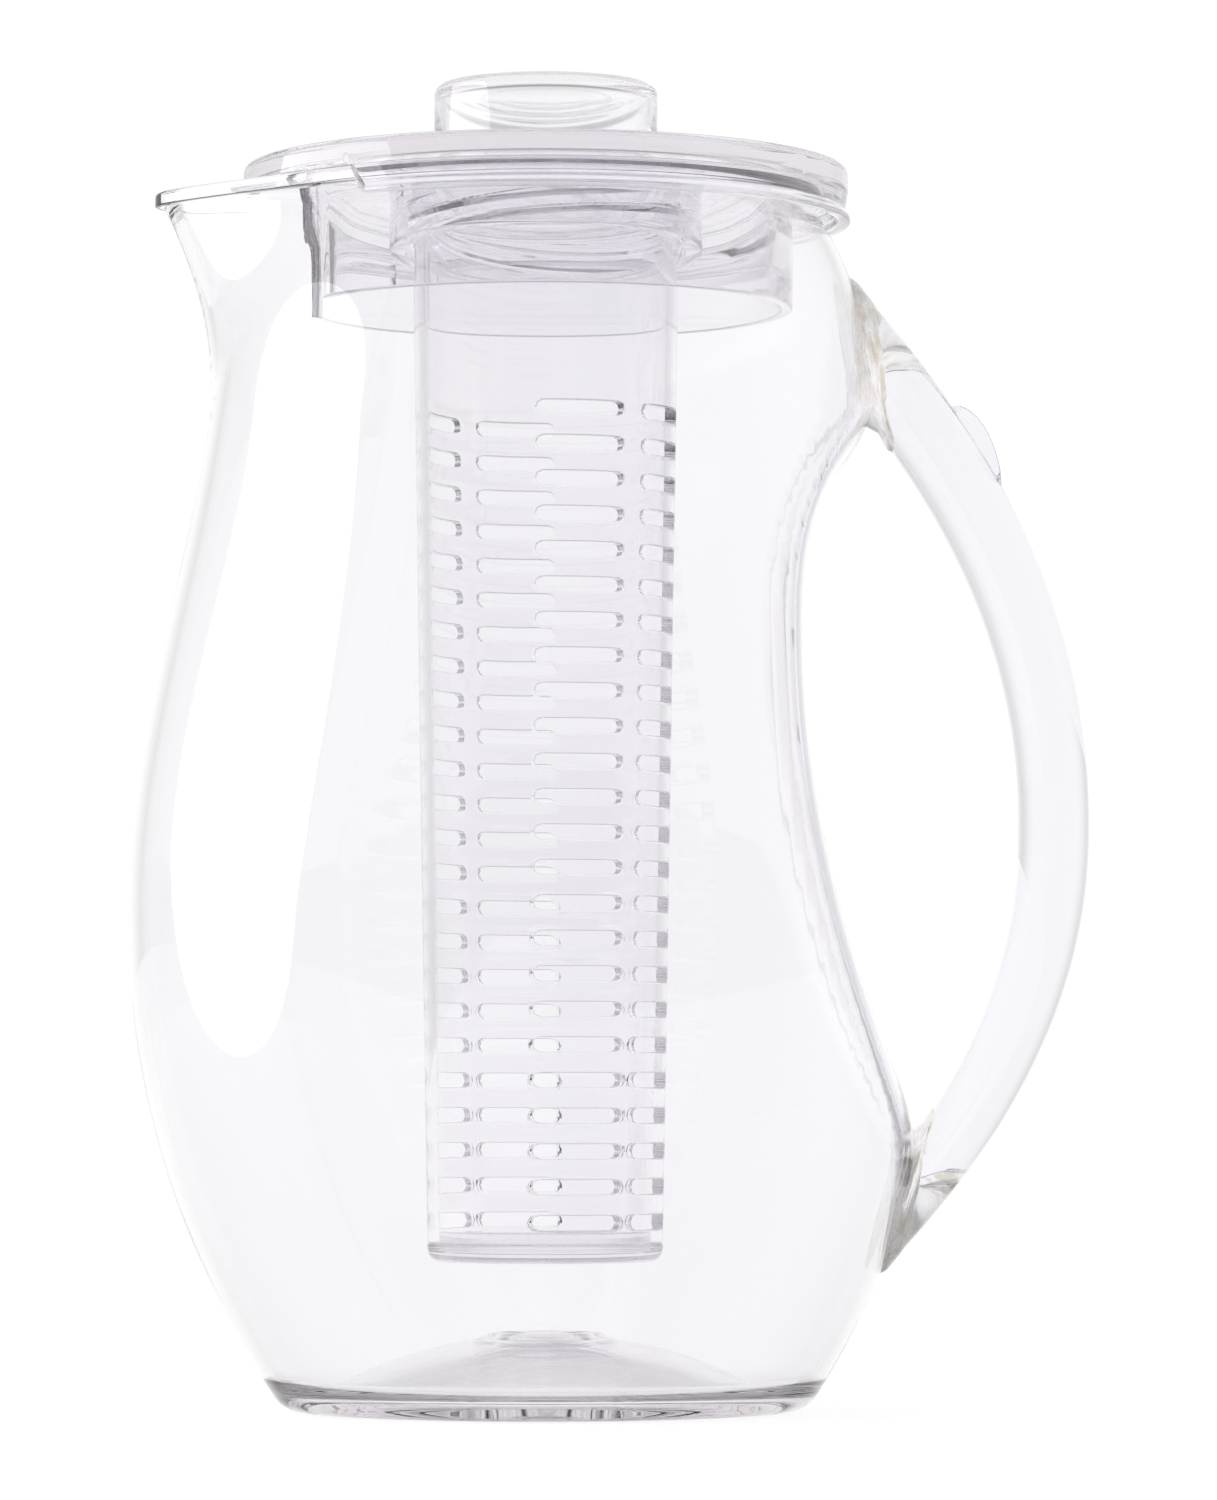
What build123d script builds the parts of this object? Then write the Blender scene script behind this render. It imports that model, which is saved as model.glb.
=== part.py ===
from build123d import *
from math import acos, cos, pi, radians, sin, sqrt
import os

# Fruit infuser pitcher in clear moulded plastic, in millimetres, +Z up.
# The origin is on the pitcher's axis, on the surface it stands on.
# The spout points along -X and the handle along +X.

# Pitcher body: heights and reaches from the axis
body_height = 266.7
base_radius = 57.0
base_flare = 0.68
belly_height = 110.0
belly_spout_reach = 91.5
belly_handle_reach = 86.5
belly_half_depth = 79.0
shoulder_height = 214.0
shoulder_spout_reach = 74.4
shoulder_handle_reach = 73.1
shoulder_half_depth = 73.0
shoulder_slope = -0.15
neck_radius = 58.3
neck_slope = -0.75
spout_reach = 84.0
spout_slope = 0.5
spout_tip_round = 0.12
wall = 3.0

# Rim of the pitcher
rim_radius = 63.5
rim_spout_reach = 86.1
rim_thickness = 3.0
rim_round = 1.2

# Finger recess on the handle side
recess_reach = 55.2
recess_drop = 48.0
recess_overlap = 2.0
recess_softness = 8.0

# Base: kicked-up floor with a gate mark
floor_height = 5.0
floor_thickness = 4.0
kick_radius = 48.0
kick_crest = 17.5
gate_radius = 12.0
gate_bead = 1.0

# Handle and its bonded pads
upper_pad_height = 34.3
lower_pad_height = 32.8
lower_pad_bottom = 29.8
grip_reach = 119.1
grip_height = 128.0
grip_thickness = 15.5
grip_depth = 22.0
pad_depth = 26.0
pad_root = 10.0
grip_curve = 2.1
weld_thickness = 0.8
thumb_rest_drop = 3.0
thumb_rest_length = 20.0
thumb_rest_width = 13.0
thumb_rest_rise = 4.0

# Lid
lid_radius = 66.5
lid_thickness = 5.5
lid_plate = 3.0
lid_edge_round = 1.8
skirt_depth = 6.7
skirt_bead = 0.5
skirt_bead_height = 1.6
skirt_clearance = 0.7
notch_half_angle = 53.0
plug_clearance = 1.0
plug_depth = 26.1
plug_wall = 2.5
pour_gap_angle = 35.0
pour_gap_centre = 7.5
collar_radius = 35.0
collar_depth = 9.7

# Knob on the lid
knob_radius = 24.6
knob_height = 18.5
knob_wall = 1.8
knob_round = 2.0
dish_radius = 14.0
dish_depth = 1.0

# Infuser tube, its slots and its foot
tube_top_radius = 29.5
tube_foot_radius = 25.7
tube_wall = 2.5
tube_foot = 32.8
tube_top_gap = 0.7
slot_rows = 24
slot_pitch = 7.62
slot_height = 3.1
slot_length = 20.0
lowest_slot = 41.5
slot_column_angles = (16.5, 69.5)
foot_cap_thickness = 4.0
foot_cap_round = 3.0
spigot_depth = 2.6
spigot_clearance = 0.05

# Screw thread between the tube and the lid's collar
thread_lead = 14.0
thread_starts = 4
thread_rise = 1.1
thread_width = 1.2
thread_clearance = 0.35
thread_turns = 0.5

# Sampling of the body's skin
outline_points = 60
skin_sections = 36

# Heights and radii worked out from the driving dimensions
rim_bottom = body_height - rim_thickness
upper_pad_bottom = shoulder_height
upper_pad_top = shoulder_height + upper_pad_height
lower_pad_top = lower_pad_bottom + lower_pad_height
thumb_rest_height = shoulder_height - thumb_rest_drop
recess_height = shoulder_height - recess_drop
recess_top = shoulder_height + recess_overlap
recess_bottom = lower_pad_top - recess_overlap
mouth_radius = neck_radius - wall
lid_top = body_height + lid_thickness
plate_underside = lid_top - lid_plate
skirt_inner = rim_radius + skirt_clearance
skirt_bottom = body_height - skirt_depth
plug_radius = mouth_radius - plug_clearance
plug_bottom = body_height - plug_depth
collar_bottom = body_height - collar_depth
tube_top = plate_underside - tube_top_gap
foot_cap_top = tube_foot + foot_cap_thickness
thread_crest = tube_top_radius + thread_rise
collar_bore = thread_crest + thread_clearance


def hermite(z, start, end):
    """Cubic from (height, reach, slope) to (height, reach, slope)."""
    (z0, x0, s0), (z1, x1, s1) = start, end
    span = z1 - z0
    t = (z - z0) / span
    return (
        (1 - 3 * t**2 + 2 * t**3) * x0
        + (3 * t**2 - 2 * t**3) * x1
        + span * ((t - 2 * t**2 + t**3) * s0 + (t**3 - t**2) * s1)
    )


def round_reach(z, belly, shoulder):
    """Reach of the plain round body at height z, for one direction."""
    base = (0.0, base_radius, base_flare)
    middle = (belly_height, belly, 0.0)
    top = (shoulder_height, shoulder, shoulder_slope)
    neck = (rim_bottom, neck_radius, neck_slope)
    if z <= belly_height:
        return hermite(z, base, middle)
    if z <= shoulder_height:
        return hermite(z, middle, top)
    return hermite(z, top, neck)


def spout_line(z):
    """Reach of the beak's leading edge at height z."""
    if z <= shoulder_height:
        return 0.0
    start = (shoulder_height, shoulder_spout_reach, shoulder_slope)
    end = (rim_bottom, spout_reach, spout_slope)
    return hermite(z, start, end)


def recess_line(z):
    """Reach of the finger recess at height z, steep past both of its ends."""
    if z < recess_height:
        end_reach = round_reach(recess_bottom, belly_handle_reach, shoulder_handle_reach)
        share = (recess_height - z) / (recess_height - recess_bottom)
        return recess_reach + (end_reach - recess_reach) * share**2
    end_reach = round_reach(recess_top, belly_handle_reach, shoulder_handle_reach)
    share = (z - recess_height) / (recess_top - recess_height)
    return recess_reach + (end_reach - recess_reach) * share**2.7


def soft_minimum(a, b, softness):
    """Smaller of two reaches, with the corner between them rounded."""
    share = min(1.0, max(0.0, 0.5 + 0.5 * (b - a) / softness))
    return b + (a - b) * share - softness * share * (1 - share)


def beak_factor(angle, round_part, tip):
    """Growth of a round outline towards a beak; angle is from the spout."""
    if tip <= round_part:
        return 1.0
    half_angle = acos(round_part / tip) + spout_tip_round
    turn = half_angle - sqrt(angle**2 + spout_tip_round**2)
    return 1.0 / cos(max(0.0, turn))


def body_reach(z, heading):
    """Reach of the body's outer skin; heading is from +X, in radians."""
    depth = round_reach(z, belly_half_depth, shoulder_half_depth)
    if cos(heading) > 0:
        along = round_reach(z, belly_handle_reach, shoulder_handle_reach)
    else:
        along = round_reach(z, belly_spout_reach, shoulder_spout_reach)
    plain = 1.0 / sqrt((cos(heading) / along) ** 2 + (sin(heading) / depth) ** 2)
    if cos(heading) > 0:
        recess = recess_line(z) / max(cos(heading), 0.2)
        return soft_minimum(plain, recess, recess_softness)
    return plain * beak_factor(pi - abs(heading), along, spout_line(z))


def closed_outline(reach_at, z):
    """Closed smooth outline at height z, from a reach for each heading."""
    points = []
    for i in range(outline_points):
        heading = -pi + 2 * pi * i / outline_points
        reach = reach_at(heading)
        points.append(Vector(reach * cos(heading), reach * sin(heading), z))
    steps = [i / outline_points for i in range(outline_points + 1)]
    return Wire([Edge.make_spline(points, periodic=True, parameters=steps)])


def body_skin(bottom, top, grow):
    """Solid inside the body's outer skin, grown by the given amount."""
    outlines = []
    for i in range(skin_sections):
        z = bottom + (top - bottom) * i / (skin_sections - 1)
        outlines.append(closed_outline(lambda heading: body_reach(z, heading) + grow, z))
    return Solid.make_loft(outlines)


def tube_at(radius, bottom, top):
    """Upright cylinder between two heights."""
    return Pos(0, 0, bottom) * Cylinder(
        radius, top - bottom, align=(Align.CENTER, Align.CENTER, Align.MIN)
    )


def ring(outer, inner, bottom, top):
    """Upright ring between two heights."""
    return tube_at(outer, bottom, top) - tube_at(inner, bottom, top)


def wedge(centre, half_angle, reach, bottom, top):
    """Sector of a disc, used to cut a skirt; centre is from +X, in degrees."""
    corners = [(0, 0)]
    for turn in (-half_angle, 0, half_angle):
        corners.append((reach * cos(radians(centre + turn)), reach * sin(radians(centre + turn))))
    sector = make_face(Polyline(*corners, close=True))
    return Pos(0, 0, bottom) * extrude(sector, top - bottom)


def thread_ridges(root, crest, bottom, turns, first_angle):
    """Ridges of a several-start thread, from root to crest radius."""
    ridges = []
    for start in range(thread_starts):
        path = Helix(thread_lead, thread_lead * turns, root)
        foot = root - 0.3 * (crest - root)
        section = Plane.XZ * Polyline(
            (foot, -thread_width / 2),
            (crest, -thread_width / 4),
            (crest, thread_width / 4),
            (foot, thread_width / 2),
            close=True,
        )
        ridge = sweep(make_face(section), path=path, is_frenet=True)
        turn = first_angle + 360.0 * start / thread_starts
        ridges.append(Pos(0, 0, bottom) * Rot(0, 0, turn) * ridge)
    return ridges


# Pitcher body, in two halves that meet at its widest ring
body_outside = body_skin(0.0, rim_bottom, 0.0)
rim_outline = closed_outline(
    lambda heading: rim_radius * beak_factor(pi - abs(heading), rim_radius, rim_spout_reach),
    rim_bottom,
)
rim = extrude(Face(rim_outline), rim_thickness, dir=(0, 0, 1))
rim = fillet(rim.edges().group_by(Axis.Z)[0] + rim.edges().group_by(Axis.Z)[-1], rim_round)
kick_sphere = (kick_radius**2 + (kick_crest - floor_height) ** 2) / (2 * (kick_crest - floor_height))
kick_centre = kick_crest - kick_sphere
kick_top = Pos(0, 0, kick_centre) * Sphere(kick_sphere)
kick_under = Pos(0, 0, kick_centre) * Sphere(kick_sphere - floor_thickness)
gate_mark = ring(gate_radius, gate_radius - gate_bead, floor_height, kick_crest + gate_bead)
mouth_outline = closed_outline(lambda heading: body_reach(rim_bottom, heading) - wall, rim_bottom)
mouth = extrude(Face(mouth_outline), rim_thickness, dir=(0, 0, 1))
cavity = body_skin(floor_height, rim_bottom, -wall) + mouth - kick_top - gate_mark
pitcher_body = body_outside + rim - cavity - kick_under
belly_ring = Plane.XY.offset(belly_height)
pitcher_body_lower = split(pitcher_body, bisect_by=belly_ring, keep=Keep.BOTTOM)
pitcher_body_upper = split(pitcher_body, bisect_by=belly_ring, keep=Keep.TOP)

# Handle: bowed between its pads and thick at them
pad_reaches = {
    z: round_reach(z, belly_handle_reach, shoulder_handle_reach)
    for z in (upper_pad_top, upper_pad_bottom, lower_pad_top, lower_pad_bottom)
}


def handle_edge(step, top, bottom, reach):
    """Point of a handle edge, step 1 at its top pad and -1 at its bottom pad."""
    pad = top if step > 0 else bottom
    x = reach - (reach - pad_reaches[pad]) * abs(step) ** grip_curve
    return Vector(x, 0, grip_height + (pad - grip_height) * abs(step))


def handle_section(outer, inner, depth):
    """Oval across the handle, between a point of each edge."""
    across = outer - inner
    plane = Plane(origin=(outer + inner) / 2, x_dir=across, z_dir=across.cross(Vector(0, 1, 0)))
    oval = scale(Edge.make_circle(1), by=(across.length / 2, depth / 2, 1))
    return Wire((plane.location * oval).edges())


handle_steps = [1 - i / 6 for i in range(13)]
root = Vector(-pad_root, 0, 0)
sections = []
for step in handle_steps:
    outer_point = handle_edge(step, upper_pad_top, lower_pad_bottom, grip_reach)
    inner_point = handle_edge(step, upper_pad_bottom, lower_pad_top, grip_reach - grip_thickness)
    depth = grip_depth + (pad_depth - grip_depth) * step**4
    sections.append(handle_section(outer_point, inner_point, depth))
sections.insert(0, sections[0].moved(Location(root)))
sections.append(sections[-1].moved(Location(root)))
handle_bar = Solid.make_loft(sections)

thumb_step = (thumb_rest_height - grip_height) / (upper_pad_top - grip_height)
thumb_point = handle_edge(thumb_step, upper_pad_top, lower_pad_bottom, grip_reach)
thumb_ahead = handle_edge(thumb_step / 2 + 0.5, upper_pad_top, lower_pad_bottom, grip_reach)
thumb_along = thumb_ahead - thumb_point
thumb_plane = Plane(origin=thumb_point, x_dir=thumb_along, z_dir=Vector(0, 1, 0).cross(thumb_along))
thumb_rest = thumb_plane * scale(
    Sphere(1), by=(thumb_rest_length / 2, thumb_rest_width / 2, thumb_rest_rise)
)

weld_outside = body_skin(0.0, rim_bottom, weld_thickness)
handle = handle_bar + thumb_rest - weld_outside
weld_layer = handle_bar & (weld_outside - body_outside)
welds = sorted(weld_layer.solids(), key=lambda solid: solid.center().Z)

# Lid: flange, notched skirt, plug skirt with its pour gap
flange = tube_at(lid_radius, body_height, lid_top)
flange = fillet(flange.edges().group_by(Axis.Z)[-1], lid_edge_round)
hollow = tube_at(plug_radius - plug_wall, body_height, plate_underside)
skirt = ring(lid_radius, skirt_inner, skirt_bottom, body_height)
skirt += ring(lid_radius + skirt_bead, skirt_inner, skirt_bottom, skirt_bottom + skirt_bead_height)
notch = wedge(180, notch_half_angle, 2 * lid_radius, skirt_bottom - 1, body_height)
plug = ring(plug_radius, plug_radius - plug_wall, plug_bottom, body_height)
pour_gap = wedge(180 + pour_gap_centre, pour_gap_angle / 2, 2 * lid_radius, plug_bottom - 1, body_height)
lid = flange - hollow + (skirt - notch) + (plug - pour_gap)

# Collar: threaded ring bonded under the lid's plate
collar_ridges = thread_ridges(collar_bore, tube_top_radius + thread_clearance, collar_bottom + thread_width,
                              thread_turns, 180.0 / thread_starts)
lid_collar = ring(collar_radius, collar_bore, collar_bottom, plate_underside) + collar_ridges

# Knob: hollow cap standing on the lid's plate, with a shallow dish in its top
knob_top = lid_top + knob_height
lid_knob = tube_at(knob_radius, lid_top, knob_top)
lid_knob = fillet(lid_knob.edges().group_by(Axis.Z)[-1], knob_round)
lid_knob -= tube_at(knob_radius - knob_wall, lid_top, knob_top - knob_wall - dish_depth)
lid_knob -= tube_at(dish_radius, knob_top - dish_depth, knob_top)

# Infuser tube: tapered, slotted in two opposite quarters, threaded at its top
taper = Polyline(
    (tube_foot_radius - tube_wall, foot_cap_top),
    (tube_foot_radius, foot_cap_top),
    (tube_top_radius, tube_top),
    (tube_top_radius - tube_wall, tube_top),
    close=True,
)
infuser_tube = revolve(Plane.XZ * make_face(taper), Axis.Z)
slot_cutters = []
for row in range(slot_rows):
    z = lowest_slot + row * slot_pitch
    for column in slot_column_angles:
        for side in (0, 180):
            turn = -90 + column + side
            face = Rot(0, 0, turn) * Pos(tube_foot_radius / 2, 0, z) * Rot(0, 90, 0) * Rot(0, 0, 90)
            slot = extrude(SlotOverall(slot_length, slot_height), tube_top_radius)
            slot_cutters.append(face * slot)
infuser_tube -= slot_cutters
tube_ridges = thread_ridges(tube_top_radius, thread_crest, collar_bottom + thread_width, thread_turns, 0.0)
infuser_tube = infuser_tube + tube_ridges

# End cap: round foot of the tube, with a spigot inside it
infuser_end_cap = tube_at(tube_foot_radius, tube_foot, foot_cap_top)
infuser_end_cap = fillet(infuser_end_cap.edges().group_by(Axis.Z)[0], foot_cap_round)
spigot_radius = tube_foot_radius - tube_wall - spigot_clearance
infuser_end_cap += tube_at(spigot_radius, foot_cap_top, foot_cap_top + spigot_depth)

pieces = {
    "pitcher_body_lower": pitcher_body_lower,
    "pitcher_body_upper": pitcher_body_upper,
    "handle": handle,
    "handle_weld_upper": welds[-1],
    "handle_weld_lower": welds[0],
    "lid": lid,
    "lid_collar": lid_collar,
    "lid_knob": lid_knob,
    "infuser_tube": infuser_tube,
    "infuser_end_cap": infuser_end_cap,
}
os.makedirs("parts", exist_ok=True)
for name, piece in pieces.items():
    export_step(piece, f"parts/{name}.step")
    print(name, len(piece.solids()), round(piece.volume, 1), piece.bounding_box())
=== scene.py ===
from math import acos, asin, atan2, cos, hypot, pi, radians, sin, sqrt, tau

import bmesh
import bpy
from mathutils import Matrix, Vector, noise


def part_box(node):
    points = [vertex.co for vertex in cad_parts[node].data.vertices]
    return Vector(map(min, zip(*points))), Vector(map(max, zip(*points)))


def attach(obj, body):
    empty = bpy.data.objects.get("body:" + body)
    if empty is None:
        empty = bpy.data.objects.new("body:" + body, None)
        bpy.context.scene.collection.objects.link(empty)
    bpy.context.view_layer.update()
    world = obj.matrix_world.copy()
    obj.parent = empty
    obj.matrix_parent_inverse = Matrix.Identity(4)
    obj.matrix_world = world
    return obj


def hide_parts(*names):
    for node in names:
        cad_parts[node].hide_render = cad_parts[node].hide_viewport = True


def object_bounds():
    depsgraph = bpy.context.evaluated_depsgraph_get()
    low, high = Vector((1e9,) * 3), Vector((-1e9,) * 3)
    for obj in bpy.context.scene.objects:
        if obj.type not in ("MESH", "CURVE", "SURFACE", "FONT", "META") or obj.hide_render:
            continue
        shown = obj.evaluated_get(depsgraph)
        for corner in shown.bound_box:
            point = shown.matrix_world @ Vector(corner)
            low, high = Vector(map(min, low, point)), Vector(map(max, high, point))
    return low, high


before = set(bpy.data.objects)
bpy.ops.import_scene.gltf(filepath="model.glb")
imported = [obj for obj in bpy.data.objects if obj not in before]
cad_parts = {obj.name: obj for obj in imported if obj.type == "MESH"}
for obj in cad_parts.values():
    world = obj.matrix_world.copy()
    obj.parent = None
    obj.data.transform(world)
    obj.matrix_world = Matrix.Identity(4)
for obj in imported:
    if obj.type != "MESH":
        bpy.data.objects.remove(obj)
cad_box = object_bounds()

# Pitcher body: one clear styrene-acrylonitrile moulding, with a beaked spout, a finger recess
# on the handle side and a kicked-up floor. It is clear and glossy, so what the eye gets is
# bright edges, thin dark lines and a faint lavender tint.
mm = 0.001
body_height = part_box("pitcher_body_upper")[1][2]
base_radius = 57.0 * mm
base_flare = 0.68
base_round = 3.0 * mm
belly_height = 110.0 * mm
belly = {"spout": 91.5 * mm, "handle": 86.5 * mm, "depth": 79.0 * mm}
shoulder_height = 214.0 * mm
shoulder = {"spout": 74.4 * mm, "handle": 73.1 * mm, "depth": 73.0 * mm}
shoulder_slope = -0.15
neck_radius = 58.3 * mm
neck_slope = -0.75
spout_reach = 84.0 * mm
spout_slope = 0.5
spout_tip_round = 0.12
wall = 3.0 * mm
rim_radius = 63.5 * mm
rim_spout_reach = 86.1 * mm
rim_thickness = 3.0 * mm
rim_round = 0.9 * mm
rim_under_round = 0.4 * mm
rim_bottom = body_height - rim_thickness
recess_reach = 55.2 * mm
recess_height = 166.0 * mm
recess_bottom = 60.6 * mm
recess_top = 216.0 * mm
recess_softness = 8.0 * mm
recess_lower_curve = 2.0
recess_upper_curve = 2.7
recess_least_cosine = 0.2
floor_height = 5.0 * mm
floor_thickness = 4.0 * mm
kick_radius = 48.0 * mm
kick_crest = 17.5 * mm
gate_radius = 12.0 * mm
gate_bead = 1.0 * mm
gate_half_width = 1.5 * mm
foot_ring_step = 0.6 * mm
under_rows = 14
base_rows = 4
skin_rows = 72
rim_rows = 5
lip_rows = 4
floor_rows = 24
body_turns = 160
merge_distance = 0.001 * mm


def hermite(z, start, end):
    """Smooth curve between two ends, each a height, a reach and a slope."""
    (z0, x0, s0), (z1, x1, s1) = start, end
    span = z1 - z0
    t = (z - z0) / span
    ends = (1 - 3 * t**2 + 2 * t**3) * x0 + (3 * t**2 - 2 * t**3) * x1
    return ends + span * ((t - 2 * t**2 + t**3) * s0 + (t**3 - t**2) * s1)


def round_reach(z, side):
    """Reach of the plain oval body at a height, before the spout and the recess."""
    base = (0.0, base_radius, base_flare)
    middle = (belly_height, belly[side], 0.0)
    top = (shoulder_height, shoulder[side], shoulder_slope)
    if z <= belly_height:
        return hermite(z, base, middle)
    if z <= shoulder_height:
        return hermite(z, middle, top)
    return hermite(z, top, (rim_bottom, neck_radius, neck_slope))


def spout_line(z):
    """Reach of the spout's keel at a height, or 0 below the shoulder, where there is none."""
    if z <= shoulder_height:
        return 0.0
    start = (shoulder_height, shoulder["spout"], shoulder_slope)
    return hermite(z, start, (rim_bottom, spout_reach, spout_slope))


def recess_line(z):
    """Reach of the finger recess at a height, least at recess_height."""
    end, curve = recess_top, recess_upper_curve
    if z < recess_height:
        end, curve = recess_bottom, recess_lower_curve
    share = (z - recess_height) / (end - recess_height)
    return recess_reach + (round_reach(end, "handle") - recess_reach) * share**curve


def soft_minimum(a, b, softness):
    """The smaller of two reaches, with the corner between them rounded."""
    share = min(1.0, max(0.0, 0.5 + 0.5 * (b - a) / softness))
    return b + (a - b) * share - softness * share * (1 - share)


def beak_factor(angle, round_part, tip):
    """How far a beak with this tip stretches a round part, by the angle from the beak's middle."""
    if tip <= round_part:
        return 1.0
    half_angle = acos(round_part / tip) + spout_tip_round
    return 1.0 / cos(max(0.0, half_angle - sqrt(angle**2 + spout_tip_round**2)))


def body_reach(z, heading):
    """Reach of the body's outer skin at a height and a heading."""
    depth = round_reach(z, "depth")
    along = round_reach(z, "handle" if cos(heading) > 0 else "spout")
    plain = 1.0 / sqrt((cos(heading) / along) ** 2 + (sin(heading) / depth) ** 2)
    if cos(heading) > 0:
        recess = recess_line(z) / max(cos(heading), recess_least_cosine)
        return soft_minimum(plain, recess, recess_softness)
    return plain * beak_factor(pi - abs(heading), along, spout_line(z))


def rim_reach(heading):
    """Reach of the rim's flange at a heading."""
    return rim_radius * beak_factor(pi - abs(heading), rim_radius, rim_spout_reach)


def bent_grid(bm, across, along, place, slot=None):
    """Adds a grid and bends it: place gives each point for its column and row, and slot the
    material slot of each strip between two rows."""
    grid = bmesh.ops.create_grid(bm, x_segments=across, y_segments=along, size=1.0)
    if slot:
        for face in bm.faces:
            face.material_index = slot(int((face.calc_center_median().y + 1) / 2 * along))
    for vert in grid["verts"]:
        column = round((vert.co.x + 1) / 2 * across)
        vert.co = place(column, round((vert.co.y + 1) / 2 * along))


def finished(bm, name, crease, closed=True):
    """Merges a bent skin, closes its ends unless it is an open sheet, faces it outwards and shades
    it smooth up to the crease angle."""
    bmesh.ops.remove_doubles(bm, verts=bm.verts, dist=merge_distance)
    if closed:
        bmesh.ops.holes_fill(bm, edges=[edge for edge in bm.edges if edge.is_boundary])
    bmesh.ops.recalc_face_normals(bm, faces=bm.faces)
    mesh = bpy.data.meshes.new(name)
    bm.to_mesh(mesh)
    bm.free()
    mesh.polygons.foreach_set("use_smooth", [True] * len(mesh.polygons))
    mesh.set_sharp_from_angle(angle=radians(crease))
    piece = bpy.data.objects.new(name, mesh)
    bpy.context.collection.objects.link(piece)
    return piece


def moulded(name, rows, turns, place, slot=None, crease=60):
    """Closed skin: a grid bent round the axis, row by row, and merged at its seam and poles."""
    bm = bmesh.new()
    bent_grid(bm, turns, rows - 1, lambda column, row: place(row, column / turns * tau - pi), slot)
    return finished(bm, name, crease)


def around(reach, heading, z):
    """Point at a reach and a height, in the direction of a heading."""
    return Vector((reach * cos(heading), reach * sin(heading), z))


kick_rise = kick_crest - floor_height
kick_sphere = (kick_radius**2 + kick_rise**2) / (2 * kick_rise)
kick_centre = kick_crest - kick_sphere
under_edge = sqrt((kick_sphere - floor_thickness) ** 2 - kick_centre**2)


def dome(radius, sphere):
    """Height of the kicked-up floor's sphere at a radius."""
    return kick_centre + sqrt(sphere**2 - radius**2)


def gate_lift(radius):
    """Height of the ringed gate mark above the floor's crown."""
    return gate_bead * max(0.0, 1 - ((radius - gate_radius) / gate_half_width) ** 2)


# Each row of the skin is a reach and a height for a heading, from the underside's middle,
# out and up the outer skin, over the rim and down the inner skin to the floor's crown.
skin = []
for i in range(under_rows):
    r = under_edge * i / (under_rows - 1)
    skin.append(lambda h, r=r: (r, dome(r, kick_sphere - floor_thickness)))
for r in (under_edge + foot_ring_step, base_radius - base_round):
    skin.append(lambda h, r=r: (r, 0.0))
for i in range(1, base_rows + 1):
    turn = i / base_rows * pi / 2
    lift = base_round * (1 - cos(turn))
    skin.append(lambda h, t=turn, z=lift: (body_reach(z, h) - base_round * (1 - sin(t)), z))
for i in range(1, skin_rows):
    z = base_round + (rim_bottom - base_round) * i / (skin_rows - 1)
    skin.append(lambda h, z=z: (body_reach(z, h), z))
for corner, level, side in ((rim_under_round, rim_bottom, -1), (rim_round, body_height, 1)):
    for i in range(rim_rows):
        share = i / (rim_rows - 1)
        turn = pi / 2 * (share if side > 0 else 1 - share)
        lift = level - side * corner * (1 - sin(turn))
        skin.append(lambda h, c=corner, t=turn, z=lift: (rim_reach(h) - c * (1 - cos(t)), z))
for i in range(lip_rows):
    turn = pi / 2 * i / (lip_rows - 1)
    skin.append(lambda h, t=turn: (
        body_reach(rim_bottom, h) - wall + rim_round * (1 - sin(t)),
        body_height - rim_round * (1 - cos(t)),
    ))
for i in range(skin_rows):
    z = rim_bottom + (floor_height - rim_bottom) * i / (skin_rows - 1)
    skin.append(lambda h, z=z: (body_reach(z, h) - wall, z))
for i in range(floor_rows):
    r = kick_radius * (1 - i / (floor_rows - 1))
    skin.append(lambda h, r=r: (r, dome(r, kick_sphere) + gate_lift(r)))


def body_place(row, heading):
    reach, z = skin[row](heading)
    return around(reach, heading, z)


pitcher_body = moulded("pitcher_body_skin", len(skin), body_turns, body_place)


def linear(hex_code):
    """Linear colour from an sRGB hex value."""
    parts = [int(hex_code[i:i + 2], 16) / 255 for i in (1, 3, 5)]
    return [*(p / 12.92 if p <= 0.04045 else ((p + 0.055) / 1.055) ** 2.4 for p in parts), 1.0]


def add_node(tree, kind, settings=None, inputs=None):
    """Adds a node with its settings, and sets or links its inputs."""
    node = tree.nodes.new(kind)
    for key, value in (settings or {}).items():
        setattr(node, key, value)
    for key, value in (inputs or {}).items():
        if isinstance(value, bpy.types.NodeSocket):
            tree.links.new(value, node.inputs[key])
        else:
            node.inputs[key].default_value = value
    return node


white = "#FFFFFF"
plastic_ior = 1.57
plastic_lavender = "#DAD4DB"
plastic_density = 6.5
flow_tone = "#FBFAFD"
flow_ripples = 3
flow_stretch = 0.25
scuff_size = 1.5 * mm
scuff_roughness = 0.05


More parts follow.
